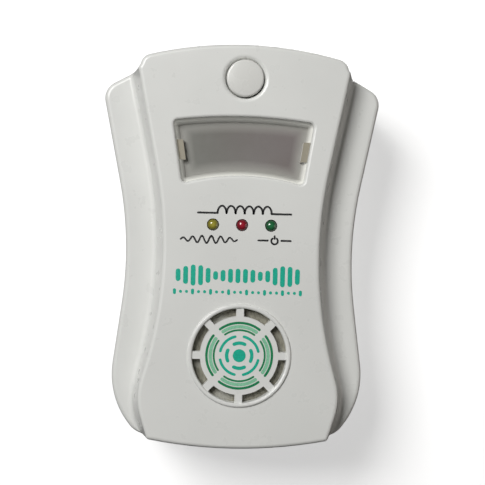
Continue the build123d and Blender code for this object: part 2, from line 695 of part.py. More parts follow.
def indicator(x):
    """One 3 mm lamp: a flange, a straight body and a domed tip, as a solid of revolution."""
    with BuildPart() as lamp:
        with BuildSketch(at_point(x, LED_Z, LED_TIP - LED_LENGTH)):
            Circle(LED_FLANGE_RADIUS)
        extrude(amount=LED_FLANGE)
        with BuildSketch(at_point(x, LED_Z, LED_TIP - LED_LENGTH + LED_FLANGE)):
            Circle(LED_RADIUS)
        extrude(amount=LED_LENGTH - LED_FLANGE)
        fillet(lamp.faces().sort_by(Axis.Y)[0].edges(), LED_RADIUS - TIP_FLAT)
    return lamp.part


save(indicator(-LED_PITCH), "ultrasonic_led")
save(indicator(0), "electromagnetic_led")
save(indicator(LED_PITCH), "power_led")

with BuildPart() as led_leads:
    for x in (-LED_PITCH, 0, LED_PITCH):
        for side in (-LEAD_OFFSET, LEAD_OFFSET):
            with BuildSketch(at_point(x + side, LED_Z, BOARD_FRONT)):
                Rectangle(LEAD_WIDTH, LEAD_WIDTH)
            extrude(amount=LED_TIP - LED_LENGTH - BOARD_FRONT)
save(led_leads.part, "led_leads")

# ---------------------------------------------------------------- ultrasonic speaker

SPEAKER_FRONT = PANEL_INSIDE - 0.6
SPEAKER_BACK = 24.5
SPEAKER_RADIUS = 13.5
SPEAKER_FLOOR = 1.2
SPEAKER_BORE_RADIUS = 12.3
CLOTH_RADIUS = 13.2
CLOTH_THICKNESS = 0.4
PIEZO_RADIUS = 9.0
PIEZO_THICKNESS = 0.5
PIEZO_SEAT = 1.5
PIEZO_SEAT_OUTSIDE = 0.2
PIEZO_SEAT_INSIDE = 1.0
CONE_RADIUS = 12.1
CONE_APEX_RADIUS = 2.5
CONE_RIM = 1.1
CONE_RIM_DROP = 1.4
CONE_PAPER = 0.4
CONE_STEP = 0.2  # how much narrower the paper's front is than its back
CLAMP_WIDTH = 1.2
CLAMP_THICKNESS = 0.9
TERMINAL_STAND = 1.0
TERMINAL_SPACING = 8.0
TERMINAL_RADIUS = 0.8
SPEAKER_LEAD_RADIUS = 0.5

with BuildPart() as speaker_cloth:
    with BuildSketch(at_point(0, GRILLE_Z, SPEAKER_FRONT + LOOSE_GAP)):
        Circle(CLOTH_RADIUS)
    extrude(amount=CLOTH_THICKNESS)
save(speaker_cloth.part, "speaker_cloth")

with BuildPart() as speaker_frame:
    with BuildSketch(at_point(0, GRILLE_Z, SPEAKER_BACK)):
        Circle(SPEAKER_RADIUS)
    extrude(amount=SPEAKER_FRONT - SPEAKER_BACK)
    with BuildSketch(at_point(0, GRILLE_Z, SPEAKER_BACK + SPEAKER_FLOOR)):
        Circle(SPEAKER_BORE_RADIUS)
    extrude(amount=SPEAKER_FRONT - SPEAKER_BACK, mode=Mode.SUBTRACT)
    with BuildSketch(at_point(0, GRILLE_Z, SPEAKER_BACK + SPEAKER_FLOOR)):
        Circle(PIEZO_RADIUS + PIEZO_SEAT_OUTSIDE)
        Circle(PIEZO_RADIUS - PIEZO_SEAT_INSIDE, mode=Mode.SUBTRACT)
    extrude(amount=PIEZO_SEAT)
    with BuildSketch(at_point(0, GRILLE_Z, SPEAKER_BACK)):
        with GridLocations(TERMINAL_SPACING, 0, 2, 1):
            Circle(TERMINAL_RADIUS)
    extrude(amount=SPEAKER_FLOOR, mode=Mode.SUBTRACT)
save(speaker_frame.part, "speaker_frame")

piezo_back = SPEAKER_BACK + SPEAKER_FLOOR + PIEZO_SEAT + PART_GAP

with BuildPart() as piezo_disc:
    with BuildSketch(at_point(0, GRILLE_Z, piezo_back)):
        Circle(PIEZO_RADIUS)
    extrude(amount=PIEZO_THICKNESS)
save(piezo_disc.part, "piezo_disc")

with BuildPart() as speaker_cone:
    apex = -piezo_back - PIEZO_THICKNESS - PART_GAP
    rim = -SPEAKER_FRONT + CONE_RIM_DROP
    with BuildSketch(Plane.YZ):
        with BuildLine():
            Polyline(
                (apex, GRILLE_Z),
                (apex, GRILLE_Z + CONE_APEX_RADIUS),
                (rim, GRILLE_Z + CONE_RADIUS - CONE_RIM),
                (rim, GRILLE_Z + CONE_RADIUS),
                (rim - CONE_PAPER, GRILLE_Z + CONE_RADIUS),
                (rim - CONE_PAPER, GRILLE_Z + CONE_RADIUS - CONE_RIM - CONE_STEP),
                (apex - CONE_PAPER, GRILLE_Z + CONE_APEX_RADIUS - CONE_STEP),
                (apex - CONE_PAPER, GRILLE_Z),
                close=True,
            )
        make_face()
    revolve(axis=Axis((0, 0, GRILLE_Z), (0, 1, 0)))
save(speaker_cone.part, "speaker_cone")

with BuildPart() as cone_clamp:
    with BuildSketch(at_point(0, GRILLE_Z, SPEAKER_FRONT - CLAMP_THICKNESS - PART_GAP)):
        Circle(SPEAKER_BORE_RADIUS - LOOSE_GAP)
        Circle(SPEAKER_BORE_RADIUS - LOOSE_GAP - CLAMP_WIDTH, mode=Mode.SUBTRACT)
    extrude(amount=CLAMP_THICKNESS)
save(cone_clamp.part, "cone_clamp")

with BuildPart() as speaker_leads:
    for x in (-TERMINAL_SPACING / 2, TERMINAL_SPACING / 2):
        with BuildSketch(at_point(x, GRILLE_Z, BOARD_FRONT)):
            Circle(SPEAKER_LEAD_RADIUS)
        extrude(amount=SPEAKER_BACK + TERMINAL_STAND - BOARD_FRONT)
save(speaker_leads.part, "speaker_leads")

# ---------------------------------------------------------------- circuit board and what stands on it

with BuildPart() as main_board:
    with BuildSketch(at_depth(BOARD_BACK)):
        with Locations((0, (BOARD_TOP + BOARD_BOTTOM) / 2)):
            RectangleRounded(2 * BOARD_HALF_WIDTH, BOARD_TOP - BOARD_BOTTOM, BOARD_CORNER)
        with Locations(*BOARD_POSTS):
            Circle(BOARD_HOLE_RADIUS, mode=Mode.SUBTRACT)
    extrude(amount=BOARD_FRONT - BOARD_BACK)
save(main_board.part, "main_board")

with BuildPart() as board_screws:
    for x, z in BOARD_POSTS:
        with BuildSketch(at_point(x, z, BOARD_BACK)):
            Circle(BOARD_SCREW_HEAD_RADIUS)
        extrude(amount=-BOARD_SCREW_HEAD)
        with BuildSketch(at_point(x, z, BOARD_BACK)):
            Circle(BOARD_SCREW_RADIUS)
        extrude(amount=BOARD_SCREW_LENGTH)
        with BuildSketch(at_point(x, z, BOARD_BACK - BOARD_SCREW_HEAD)):
            Rectangle(BOARD_CROSS_LENGTH, BOARD_CROSS_WIDTH)
            Rectangle(BOARD_CROSS_WIDTH, BOARD_CROSS_LENGTH)
        extrude(amount=BOARD_CROSS_DEPTH, mode=Mode.SUBTRACT)
save(board_screws.part, "board_screws")

COIL_CENTRE = (-9.5, -3.0)
COIL_DEPTH = 22.8
CORE_WIDTH = 14.0
CORE_HEIGHT = 13.0
CORE_LIMB = 2.4
CORE_THICKNESS = 4.6
COIL_CAVITY = CORE_HEIGHT - 2 * CORE_LIMB
CORE_TONGUE = 3.2
BOBBIN_TUBE = 4.8
BOBBIN_MARGIN = 0.8  # how much thicker the tube is than the core, on each side
BOBBIN_CHEEK = 8.8
BOBBIN_CHEEK_THICKNESS = 0.7
WINDING_WIDTH = 8.4
WINDING_ROUND = 1.5
WINDING_MARGIN = 0.45  # how far the cheeks stand proud of the winding
COIL_STAND = COIL_DEPTH - BOARD_FRONT

with BuildPart() as coil_core:
    with BuildSketch(at_point(*COIL_CENTRE, COIL_DEPTH - CORE_THICKNESS / 2)):
        Rectangle(CORE_WIDTH, CORE_HEIGHT)
        Rectangle(CORE_WIDTH - 2 * CORE_LIMB, COIL_CAVITY, mode=Mode.SUBTRACT)
        Rectangle(CORE_TONGUE, CORE_HEIGHT)
    extrude(amount=CORE_THICKNESS)
save(coil_core.part, "coil_core")

with BuildPart() as coil_bobbin:
    with BuildSketch(Plane.XY.offset(COIL_CENTRE[1] - COIL_CAVITY / 2 + LOOSE_GAP)):
        with Locations((COIL_CENTRE[0], -COIL_DEPTH)):
            Rectangle(BOBBIN_TUBE, CORE_THICKNESS + 2 * BOBBIN_MARGIN)
    extrude(amount=COIL_CAVITY - 2 * LOOSE_GAP)
    for level in (LOOSE_GAP, COIL_CAVITY - LOOSE_GAP - BOBBIN_CHEEK_THICKNESS):
        with BuildSketch(Plane.XY.offset(COIL_CENTRE[1] - COIL_CAVITY / 2 + level)):
            with Locations((COIL_CENTRE[0], -COIL_DEPTH)):
                Rectangle(BOBBIN_CHEEK, 2 * (COIL_STAND - PART_GAP))
        extrude(amount=BOBBIN_CHEEK_THICKNESS)
    with BuildSketch(Plane.XY.offset(COIL_CENTRE[1] - COIL_CAVITY / 2)):
        with Locations((COIL_CENTRE[0], -COIL_DEPTH)):
            Rectangle(CORE_TONGUE + 2 * PART_GAP, CORE_THICKNESS + 2 * PART_GAP)
    extrude(amount=COIL_CAVITY, mode=Mode.SUBTRACT)
save(coil_bobbin.part, "coil_bobbin")

with BuildPart() as coil_winding:
    winding_start = LOOSE_GAP + BOBBIN_CHEEK_THICKNESS + PART_GAP
    with BuildSketch(Plane.XY.offset(COIL_CENTRE[1] - COIL_CAVITY / 2 + winding_start)):
        with Locations((COIL_CENTRE[0], -COIL_DEPTH)):
            RectangleRounded(WINDING_WIDTH, 2 * (COIL_STAND - PART_GAP - WINDING_MARGIN), WINDING_ROUND)
            Rectangle(
                BOBBIN_TUBE + PART_GAP, CORE_THICKNESS + 2 * BOBBIN_MARGIN + PART_GAP, mode=Mode.SUBTRACT
            )
    extrude(amount=COIL_CAVITY - 2 * winding_start)
save(coil_winding.part, "coil_winding")

FILM_CENTRE = (9.5, -9.5)
FILM_LENGTH = 13.0
FILM_WIDTH = 5.0
FILM_HEIGHT = 11.0
FILM_ROUND = 0.6
FILM_TOP_ROUND = 0.4

with BuildPart() as film_capacitor:
    with BuildSketch(at_point(*FILM_CENTRE, BOARD_FRONT)):
        Rectangle(FILM_LENGTH, FILM_WIDTH)
    extrude(amount=FILM_HEIGHT)
    fillet(film_capacitor.edges().filter_by(Axis.Y), FILM_ROUND)
    fillet(film_capacitor.faces().sort_by(Axis.Y)[0].edges(), FILM_TOP_ROUND)
save(film_capacitor.part, "film_capacitor")

CAN_CENTRE = (11.5, -1.8)
CAN_RADIUS = 4.0
CAN_HEIGHT = 12.0
CAN_ROUND = 0.5
CAN_GROOVE_HEIGHT = 10.4
CAN_GROOVE_WIDTH = 0.5
CAN_GROOVE_DEPTH = 0.2

with BuildPart() as electrolytic_capacitor:
    with BuildSketch(at_point(*CAN_CENTRE, BOARD_FRONT)):
        Circle(CAN_RADIUS)
    extrude(amount=CAN_HEIGHT)
    fillet(electrolytic_capacitor.faces().sort_by(Axis.Y)[0].edges(), CAN_ROUND)
    with BuildSketch(at_point(*CAN_CENTRE, BOARD_FRONT + CAN_GROOVE_HEIGHT)):
        Circle(CAN_RADIUS + LOOSE_GAP)
        Circle(CAN_RADIUS - CAN_GROOVE_DEPTH, mode=Mode.SUBTRACT)
    extrude(amount=CAN_GROOVE_WIDTH, mode=Mode.SUBTRACT)
save(electrolytic_capacitor.part, "electrolytic_capacitor")


def axial_parts(places, body_radius, body_length, wire_radius, span):
    """Components that lie on the board: a cylinder along X on one straight wire."""
    with BuildPart() as group:
        for x, z in places:
            centre = (x, -BOARD_FRONT - body_radius - LOOSE_GAP, z)
            with BuildSketch(Plane(origin=centre, x_dir=(0, 1, 0), z_dir=(1, 0, 0))):
                Circle(body_radius)
            extrude(amount=body_length / 2, both=True)
            with BuildSketch(Plane(origin=centre, x_dir=(0, 1, 0), z_dir=(1, 0, 0))):
                Circle(wire_radius)
            extrude(amount=span / 2, both=True)
    return group.part


diode_places = [(-13.0, z) for z in (-16.5, -20.0, -23.5, -27.0)]
diodes = axial_parts(diode_places, body_radius=1.35, body_length=5.0, wire_radius=0.4, span=9.0)
save(diodes, "rectifier_diodes")
resistor_places = [(13.0, z) for z in (-18.0, -21.0, -24.0, -27.0)]
resistors = axial_parts(resistor_places, body_radius=1.1, body_length=6.0, wire_radius=0.3, span=9.0)
save(resistors, "resistors")
fuse = axial_parts([(-12.0, 9.5)], body_radius=2.0, body_length=9.0, wire_radius=0.4, span=13.0)
save(fuse, "fuse_resistor")

LEG_PITCH = 2.54
CHIP_Z = -21.5
CHIP_WIDTH = 6.4
CHIP_LENGTH = 9.6
CHIP_STAND = 0.6
CHIP_THICKNESS = 3.2
CHIP_BEVEL = 0.3
CHIP_NOTCH_RADIUS = 0.8
CHIP_NOTCH_DEPTH = 0.8
CHIP_LEG_X = 3.5
CHIP_LEG_REACH = 0.8
CHIP_LEG_WIDTH = 0.6
CHIP_LEG_HEIGHT = 2.0

with BuildPart() as control_chip:
    chip_top = BOARD_FRONT + CHIP_STAND + CHIP_THICKNESS
    with BuildSketch(at_point(0, CHIP_Z, BOARD_FRONT + CHIP_STAND)):
        Rectangle(CHIP_WIDTH, CHIP_LENGTH)
    extrude(amount=CHIP_THICKNESS)
    chamfer(control_chip.faces().sort_by(Axis.Y)[0].edges(), CHIP_BEVEL)
    with BuildSketch(at_point(0, CHIP_Z + CHIP_LENGTH / 2, chip_top - CHIP_NOTCH_DEPTH)):
        Circle(CHIP_NOTCH_RADIUS)
    extrude(amount=CHIP_NOTCH_DEPTH, mode=Mode.SUBTRACT)
    for side in (-1, 1):
        with BuildSketch(at_point(side * CHIP_LEG_X, CHIP_Z, BOARD_FRONT)):
            with GridLocations(0, LEG_PITCH, 1, 4):
                Rectangle(CHIP_LEG_REACH, CHIP_LEG_WIDTH)
        extrude(amount=CHIP_LEG_HEIGHT)
save(control_chip.part, "control_chip")

TRANSISTOR_X = 5.5
TRANSISTOR_Z = -33.0
TRANSISTOR_RADIUS = 2.3
TRANSISTOR_FLAT = 1.3  # from the middle of the case to its flat side
TRANSISTOR_STAND = 1.0
TRANSISTOR_HEIGHT = 4.6
TRANSISTOR_LEG = 0.4

with BuildPart() as driver_transistors:
    for x in (-TRANSISTOR_X, TRANSISTOR_X):
        with BuildSketch(at_point(x, TRANSISTOR_Z, BOARD_FRONT + TRANSISTOR_STAND)):
            Circle(TRANSISTOR_RADIUS)
            with Locations((0, -TRANSISTOR_FLAT - TRANSISTOR_RADIUS)):
                Rectangle(2 * TRANSISTOR_RADIUS, 2 * TRANSISTOR_RADIUS, mode=Mode.SUBTRACT)
        extrude(amount=TRANSISTOR_HEIGHT)
        with BuildSketch(at_point(x, TRANSISTOR_Z, BOARD_FRONT)):
            with GridLocations(LEG_PITCH / 2, 0, 3, 1):
                Rectangle(TRANSISTOR_LEG, TRANSISTOR_LEG)
        extrude(amount=TRANSISTOR_STAND)
save(driver_transistors.part, "driver_transistors")

CERAMIC_PLACES = ((17.5, 12.0), (17.5, 3.0), (-18.5, -12.0))
CERAMIC_RADIUS = 2.2
CERAMIC_THICKNESS = 1.8
CERAMIC_STAND = 3.0
CERAMIC_LEG_HEIGHT = 2.4

with BuildPart() as ceramic_capacitors:
    for x, z in CERAMIC_PLACES:
        with BuildSketch(Plane.XY.offset(z)):
            with Locations((x, -BOARD_FRONT - CERAMIC_STAND)):
                Circle(CERAMIC_RADIUS)
        extrude(amount=CERAMIC_THICKNESS / 2, both=True)
        with BuildSketch(at_point(x, z, BOARD_FRONT)):
            with GridLocations(LEG_PITCH, 0, 2, 1):
                Rectangle(LEAD_WIDTH, LEAD_WIDTH)
        extrude(amount=CERAMIC_LEG_HEIGHT)
save(ceramic_capacitors.part, "ceramic_capacitors")
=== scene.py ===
"""Looks of the plug-in ultrasonic pest repeller: materials, printed symbols, lights and backdrop."""

import json
from math import cos, pi, radians, sin

import bmesh
import bpy
from mathutils import Euler, Matrix, Vector

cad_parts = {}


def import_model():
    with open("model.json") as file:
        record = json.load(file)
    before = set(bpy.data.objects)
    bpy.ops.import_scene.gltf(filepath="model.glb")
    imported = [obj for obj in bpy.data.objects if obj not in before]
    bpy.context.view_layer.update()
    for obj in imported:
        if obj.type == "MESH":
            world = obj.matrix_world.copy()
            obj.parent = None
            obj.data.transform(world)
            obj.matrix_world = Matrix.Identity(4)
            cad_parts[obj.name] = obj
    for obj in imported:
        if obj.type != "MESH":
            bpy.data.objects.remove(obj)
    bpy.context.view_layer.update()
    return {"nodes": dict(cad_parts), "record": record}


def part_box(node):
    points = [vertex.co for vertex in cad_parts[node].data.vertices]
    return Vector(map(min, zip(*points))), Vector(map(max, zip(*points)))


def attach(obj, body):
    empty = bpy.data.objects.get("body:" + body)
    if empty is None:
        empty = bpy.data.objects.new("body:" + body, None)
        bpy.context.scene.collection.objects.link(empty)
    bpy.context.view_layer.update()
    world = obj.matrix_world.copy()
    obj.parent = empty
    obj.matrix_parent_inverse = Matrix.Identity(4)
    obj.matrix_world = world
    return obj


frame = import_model()
nodes = frame["nodes"]

MM = 0.001

# ---------------------------------------------------------------- places, in metres, from the CAD frame

LAMP_PROUD = 0.7 * MM  # how far the lamps' tips stand proud of the panel
LAMP_FLANGE_RADIUS = 1.95 * MM
panel_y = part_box("electromagnetic_led")[0][1] + LAMP_PROUD
lamp_z = (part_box("electromagnetic_led")[0][2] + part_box("electromagnetic_led")[1][2]) / 2
lamp_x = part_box("power_led")[1][0] - LAMP_FLANGE_RADIUS
grille_z = (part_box("speaker_cloth")[0][2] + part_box("speaker_cloth")[1][2]) / 2

# The night-light window: its lens reaches past the opening, and is dished with sloping sides
lens_low, lens_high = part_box("window_lens")
LENS_FLANGE = 1.4 * MM
LENS_TAB_Y = lens_low[1]
LENS_RIM_Y = LENS_TAB_Y + 0.75 * MM
LENS_FACE_Y = LENS_RIM_Y + 1.2 * MM
LENS_TOP = lens_high[2] - LENS_FLANGE
LENS_BOTTOM = LENS_TOP - 15.3 * MM
LENS_TOP_BOW = -3.8  # metres of fall per square metre of distance from the middle
LENS_BOTTOM_BOW = 9.1
LENS_SIDE_SLOPE = 0.16
LENS_SIDE_FOOT = lens_high[0] - LENS_FLANGE - LENS_SIDE_SLOPE * LENS_TOP
LENS_EDGE_BLEND = 1.2 * MM  # how softly the lens's pale edge turns its corners

# ---------------------------------------------------------------- materials


class Shader:
    """A node tree under construction, with short names for the nodes that every material here uses."""

    def __init__(self, name):
        self.material = bpy.data.materials.new(name)
        self.material.use_nodes = True
        self.tree = self.material.node_tree
        self.surface = self.tree.nodes["Principled BSDF"]
        self.place = self.add("ShaderNodeTexCoord").outputs["Object"]

    def add(self, kind, **settings):
        node = self.tree.nodes.new(kind)
        for key, value in settings.items():
            setattr(node, key, value)
        return node

    def link(self, source, target):
        self.tree.links.new(source, target)

    def set(self, **values):
        """Fixed values on the Principled node, with _ for the spaces in a socket's name."""
        for key, value in values.items():
            self.surface.inputs[key.replace("_", " ")].default_value = value
        return self

    def noise(self, scale, detail=3.0, roughness=0.5, stretch=None):
        """Noise of about `scale` grains per metre."""
        texture = self.add("ShaderNodeTexNoise")
        texture.inputs["Scale"].default_value = scale
        texture.inputs["Detail"].default_value = detail
        texture.inputs["Roughness"].default_value = roughness
        self.link(self.stretched(stretch), texture.inputs["Vector"])
        return texture.outputs["Fac"]

    def stretched(self, stretch):
        if stretch is None:
            return self.place
        mapping = self.add("ShaderNodeMapping")
        mapping.inputs["Scale"].default_value = stretch
        self.link(self.place, mapping.inputs["Vector"])
        return mapping.outputs["Vector"]

    def span(self, value, low, high, from_low=0.3, from_high=0.7):
        """A factor moved from one range to another."""
        node = self.add("ShaderNodeMapRange")
        ends = {"From Min": from_low, "From Max": from_high, "To Min": low, "To Max": high}
        for key, number in ends.items():
            node.inputs[key].default_value = number
        self.link(value, node.inputs["Value"])
        return node.outputs["Result"]

    def math(self, operation, *values):
        """One arithmetic node, of sockets or numbers."""
        node = self.add("ShaderNodeMath", operation=operation)
        for socket, value in zip(node.inputs, values):
            if isinstance(value, (int, float)):
                socket.default_value = value
            else:
                self.link(value, socket)
        return node.outputs[0]

    def axes(self):
        """The x, y and z of the place on the surface, in metres."""
        node = self.add("ShaderNodeSeparateXYZ")
        self.link(self.place, node.inputs[0])
        return node.outputs

    def mix(self, factor, first, second):
        """A colour between two, each a tuple or a socket."""
        node = self.add("ShaderNodeMix", data_type="RGBA")
        self.link(factor, node.inputs["Factor"])
        for socket, colour in ((node.inputs[6], first), (node.inputs[7], second)):
            if isinstance(colour, tuple):
                socket.default_value = (*colour, 1.0)
            else:
                self.link(colour, socket)
        return node.outputs[2]

    def bump(self, height, strength, distance):
        """Adds a bump, on top of any bump that the surface has already."""
        node = self.add("ShaderNodeBump")
        node.inputs["Strength"].default_value = strength
        node.inputs["Distance"].default_value = distance
        self.link(height, node.inputs["Height"])
        normal = self.surface.inputs["Normal"]
        if normal.is_linked:
            self.link(normal.links[0].from_socket, node.inputs["Normal"])
        self.link(node.outputs["Normal"], normal)

    def colour(self, socket):
        self.link(socket, self.surface.inputs["Base Color"])

    def roughness(self, socket):
        self.link(socket, self.surface.inputs["Roughness"])


def shade(colour, factor):
    return tuple(min(1.0, channel * factor) for channel in colour)


def moulded(name, colour, rough=0.35, grain=2500.0, depth=0.02, variation=0.03, **values):
    """Moulded plastic: faint clouding of the colour, uneven gloss and a fine spark-eroded grain."""
    s = Shader(name).set(**values)
    cloud = s.span(s.noise(35.0, 4.0), 0.0, 1.0)
    s.colour(s.mix(cloud, shade(colour, 1 - variation), shade(colour, 1 + variation)))
    s.roughness(s.span(s.noise(260.0, 3.0), rough - 0.04, rough + 0.05))
    s.bump(s.noise(28.0, 2.0), 0.10, 0.30 * MM)
    s.bump(s.noise(grain, 2.0), 0.10, depth * MM)
    return s.material


def metal(name, colour, rough=0.25, stretch=(1.0, 12.0, 1.0), scale=900.0):
    """Drawn or plated metal with fine lines along one direction."""
    s = Shader(name).set(Metallic=1.0)
    lines = s.noise(scale, 3.0, stretch=stretch)
    s.colour(s.mix(s.span(lines, 0.0, 1.0), shade(colour, 0.86), shade(colour, 1.06)))
    s.roughness(s.span(lines, rough - 0.06, rough + 0.12))
    s.bump(lines, 0.12, 0.02 * MM)
    return s.material


def lamp_epoxy(name, rim, core, centre):
    """Tinted epoxy: a brighter core round the lamp's own axis, partly the die and its reflector cup and
    partly painted light, with a rim darkened by painted shade.
    """
    s = Shader(name).set(Coat_Weight=0.6, Coat_Roughness=0.12)
    offset = s.add("ShaderNodeVectorMath", operation="SUBTRACT")
    offset.inputs[1].default_value = (centre[0], 0.0, centre[1])
    s.link(s.place, offset.inputs[0])
    flat = s.add("ShaderNodeVectorMath", operation="MULTIPLY")
    flat.inputs[1].default_value = (1.0, 0.0, 1.0)
    s.link(offset.outputs[0], flat.inputs[0])
    length = s.add("ShaderNodeVectorMath", operation="LENGTH")
    s.link(flat.outputs[0], length.inputs[0])
    radial = s.span(length.outputs["Value"], 0.0, 1.0, 0.25 * MM, 1.35 * MM)
    # painted light in the core and painted shade towards the rim, over the epoxy's own tint
    s.colour(s.mix(radial, core, rim))
    s.roughness(s.span(s.noise(1200.0), 0.12, 0.22))
    return s.material


def ink(name, colour):
    """Pad-printed ink: a slightly rough film with tiny pinholes of tone."""
    s = Shader(name)
    speckle = s.noise(4200.0, 2.0)
    s.colour(s.mix(s.span(speckle, 0.0, 1.0), shade(colour, 0.82), shade(colour, 1.15)))
    s.roughness(s.span(s.noise(900.0), 0.42, 0.6))
    s.bump(speckle, 0.2, 0.01 * MM)
    return s.material


def frosted_lens():
    """Frosted polycarbonate, grey to faintly pink, lighter towards its edges: painted shade darkens its
    middle for the dark hollow behind it, and painted light makes its slopes pale and glowing.
    The snap tabs that stand on its rim are beige, faintly glowing with painted light."""
    s = Shader("frosted_lens").set(Coat_Weight=0.25, Coat_Roughness=0.3)
    x, y, z = s.axes()
    width = s.math("ABSOLUTE", x)
    square = s.math("MULTIPLY", x, x)
    top = s.math("SUBTRACT", s.math("MULTIPLY_ADD", square, LENS_TOP_BOW, LENS_TOP), z)
    bottom = s.math("ADD", s.math("MULTIPLY_ADD", square, LENS_BOTTOM_BOW, -LENS_BOTTOM), z)
    side = s.math("SUBTRACT", s.math("MULTIPLY_ADD", z, LENS_SIDE_SLOPE, LENS_SIDE_FOOT), width)
    nearest = s.math("SMOOTH_MIN", top, bottom, LENS_EDGE_BLEND)
    edge = s.math("SMOOTH_MIN", nearest, side, LENS_EDGE_BLEND)
    # painted shade: the lens darkens away from its edges, for the dark hollow behind it
    painted_shade_mask = s.span(edge, 0.0, 1.0, 1.1 * MM, 4.2 * MM)
    tint = s.span(s.math("ADD", x, s.math("MULTIPLY", z, 0.35)), 0.0, 1.0, -6.0 * MM, 24.0 * MM)
    cloud = s.span(s.noise(70.0, 3.0), 0.0, 1.0)
    grey = s.mix(cloud, (0.168, 0.172, 0.150), (0.196, 0.196, 0.182))
    pink = s.mix(cloud, (0.182, 0.152, 0.148), (0.205, 0.180, 0.176))
    middle = s.mix(tint, grey, pink)
    face = s.mix(painted_shade_mask, (0.34, 0.335, 0.31), middle)
    sloping = s.span(y, 1.0, 0.0, LENS_RIM_Y, LENS_FACE_Y)
    # painted light: the lens's sloping sides are made pale, as if lit
    pale = s.mix(sloping, face, (0.60, 0.60, 0.56))
    tab = s.span(y, 1.0, 0.0, LENS_TAB_Y, LENS_RIM_Y - 0.1 * MM)
    s.colour(s.mix(tab, pale, (0.30, 0.275, 0.215)))
    # painted light: the sloping sides, and faintly the tabs, give out light of their own, standing in for
    # light that falls on them
    painted_glow = s.mix(sloping, (0.0, 0.0, 0.0), (0.16, 0.16, 0.15))
    s.link(s.mix(tab, painted_glow, (0.03, 0.027, 0.02)), s.surface.inputs["Emission Color"])
    s.set(Emission_Strength=1.0)
    s.roughness(s.span(s.noise(1800.0, 2.0), 0.34, 0.5))
    s.bump(s.noise(3800.0, 2.0), 0.2, 0.03 * MM)
    return s.material


def scrim():
    """Open cloth behind the grille: fine slanting threads, worn pale in places."""
    s = Shader("speaker_cloth").set(Sheen_Weight=0.3)
    warp = s.add("ShaderNodeTexWave", wave_type="BANDS", bands_direction="DIAGONAL")
    weft = s.add("ShaderNodeTexWave", wave_type="BANDS", bands_direction="X")
    for wave in (warp, weft):
        wave.inputs["Scale"].default_value = 300.0
        wave.inputs["Distortion"].default_value = 0.8
        s.link(s.place, wave.inputs["Vector"])
    threads = s.math("MAXIMUM", warp.outputs["Fac"], weft.outputs["Fac"])
    base = s.mix(threads, (0.175, 0.167, 0.130), (0.245, 0.236, 0.190))
    worn = s.span(s.noise(90.0, 2.0), 0.0, 0.75, 0.57, 0.66)
    s.colour(s.mix(worn, base, (0.40, 0.40, 0.36)))
    s.roughness(s.span(s.noise(900.0), 0.75, 0.95))
    s.bump(threads, 0.5, 0.08 * MM)
    return s.material


WHITE = (0.745, 0.75, 0.725)

looks = {
    "white_abs": moulded("white_abs", WHITE, 0.30, Coat_Weight=0.15, Coat_Roughness=0.2),
    "button_white": moulded("button_white", (0.70, 0.70, 0.67), 0.26, Coat_Weight=0.2, Coat_Roughness=0.15),
    "frosted_lens": frosted_lens(),
    "reflector_white": moulded("reflector_white", (0.72, 0.72, 0.70), 0.5),
    "led_yellow": lamp_epoxy("led_yellow", (0.155, 0.135, 0.012), (0.36, 0.32, 0.05), (-lamp_x, lamp_z)),
    "led_red": lamp_epoxy("led_red", (0.13, 0.004, 0.010), (0.36, 0.018, 0.035), (0.0, lamp_z)),
    "led_green": lamp_epoxy("led_green", (0.010, 0.062, 0.022), (0.022, 0.17, 0.062), (lamp_x, lamp_z)),
    "led_clear": moulded("led_clear", (0.82, 0.82, 0.78), 0.12, Transmission_Weight=0.7, IOR=1.5),
    "tinned_wire": metal("tinned_wire", (0.72, 0.72, 0.70), 0.3),
    "nickel_pin": metal("nickel_pin", (0.78, 0.76, 0.71), 0.2),
    "pin_sleeve": moulded("pin_sleeve", (0.02, 0.02, 0.021), 0.45),
    "screw_steel": metal("screw_steel", (0.55, 0.55, 0.56), 0.35, (1.0, 1.0, 1.0), 1500.0),
    "circuit_board": moulded("circuit_board", (0.42, 0.27, 0.11), 0.55, variation=0.12),
    "switch_black": moulded("switch_black", (0.02, 0.02, 0.02), 0.45),
    "switch_cream": moulded("switch_cream", (0.68, 0.62, 0.45), 0.4),
    "spring_steel": metal("spring_steel", (0.62, 0.62, 0.62), 0.22),
    "speaker_cloth": scrim(),
    "speaker_black": moulded("speaker_black", (0.025, 0.025, 0.025), 0.5),
    "cone_paper": moulded("cone_paper", (0.10, 0.09, 0.075), 0.8, 1200.0, 0.08, 0.15),
    "piezo_brass": metal("piezo_brass", (0.75, 0.55, 0.25), 0.3, (1.0, 1.0, 1.0), 1400.0),
    "lead_insulation": moulded("lead_insulation", (0.05, 0.05, 0.05), 0.5),
    "ferrite": moulded("ferrite", (0.045, 0.045, 0.05), 0.6, 1600.0, 0.08, 0.15),
    "bobbin_plastic": moulded("bobbin_plastic", (0.05, 0.045, 0.04), 0.5),
    "copper_winding": metal("copper_winding", (0.72, 0.30, 0.14), 0.3, (1.0, 1.0, 40.0), 260.0),
    "film_red": moulded("film_red", (0.32, 0.03, 0.02), 0.3),
    "capacitor_sleeve": moulded("capacitor_sleeve", (0.015, 0.02, 0.05), 0.3),
    "component_body": moulded("component_body", (0.03, 0.03, 0.03), 0.55),
    "resistor_body": moulded("resistor_body", (0.55, 0.42, 0.24), 0.4, variation=0.1),
    "ceramic_disc": moulded("ceramic_disc", (0.50, 0.22, 0.05), 0.35, variation=0.12),
}

for subpart in frame["record"]["subparts"]:
    mesh = nodes[subpart["node"]].data
    mesh.materials.clear()
    mesh.materials.append(looks[subpart["material_slot"]])

# ---------------------------------------------------------------- printed symbols

INK_FILM = 0.03 * MM  # how far the film stands proud of the panel
INK_BITE = 0.01 * MM  # and how far it runs into it
black_ink = ink("black_ink", (0.012, 0.012, 0.013))
teal_ink = ink("teal_ink", (0.0, 0.42, 0.285))
green_ink = ink("green_ink", (0.0, 0.21, 0.075))
pale_ink = ink("pale_ink", (0.24, 0.56, 0.36))


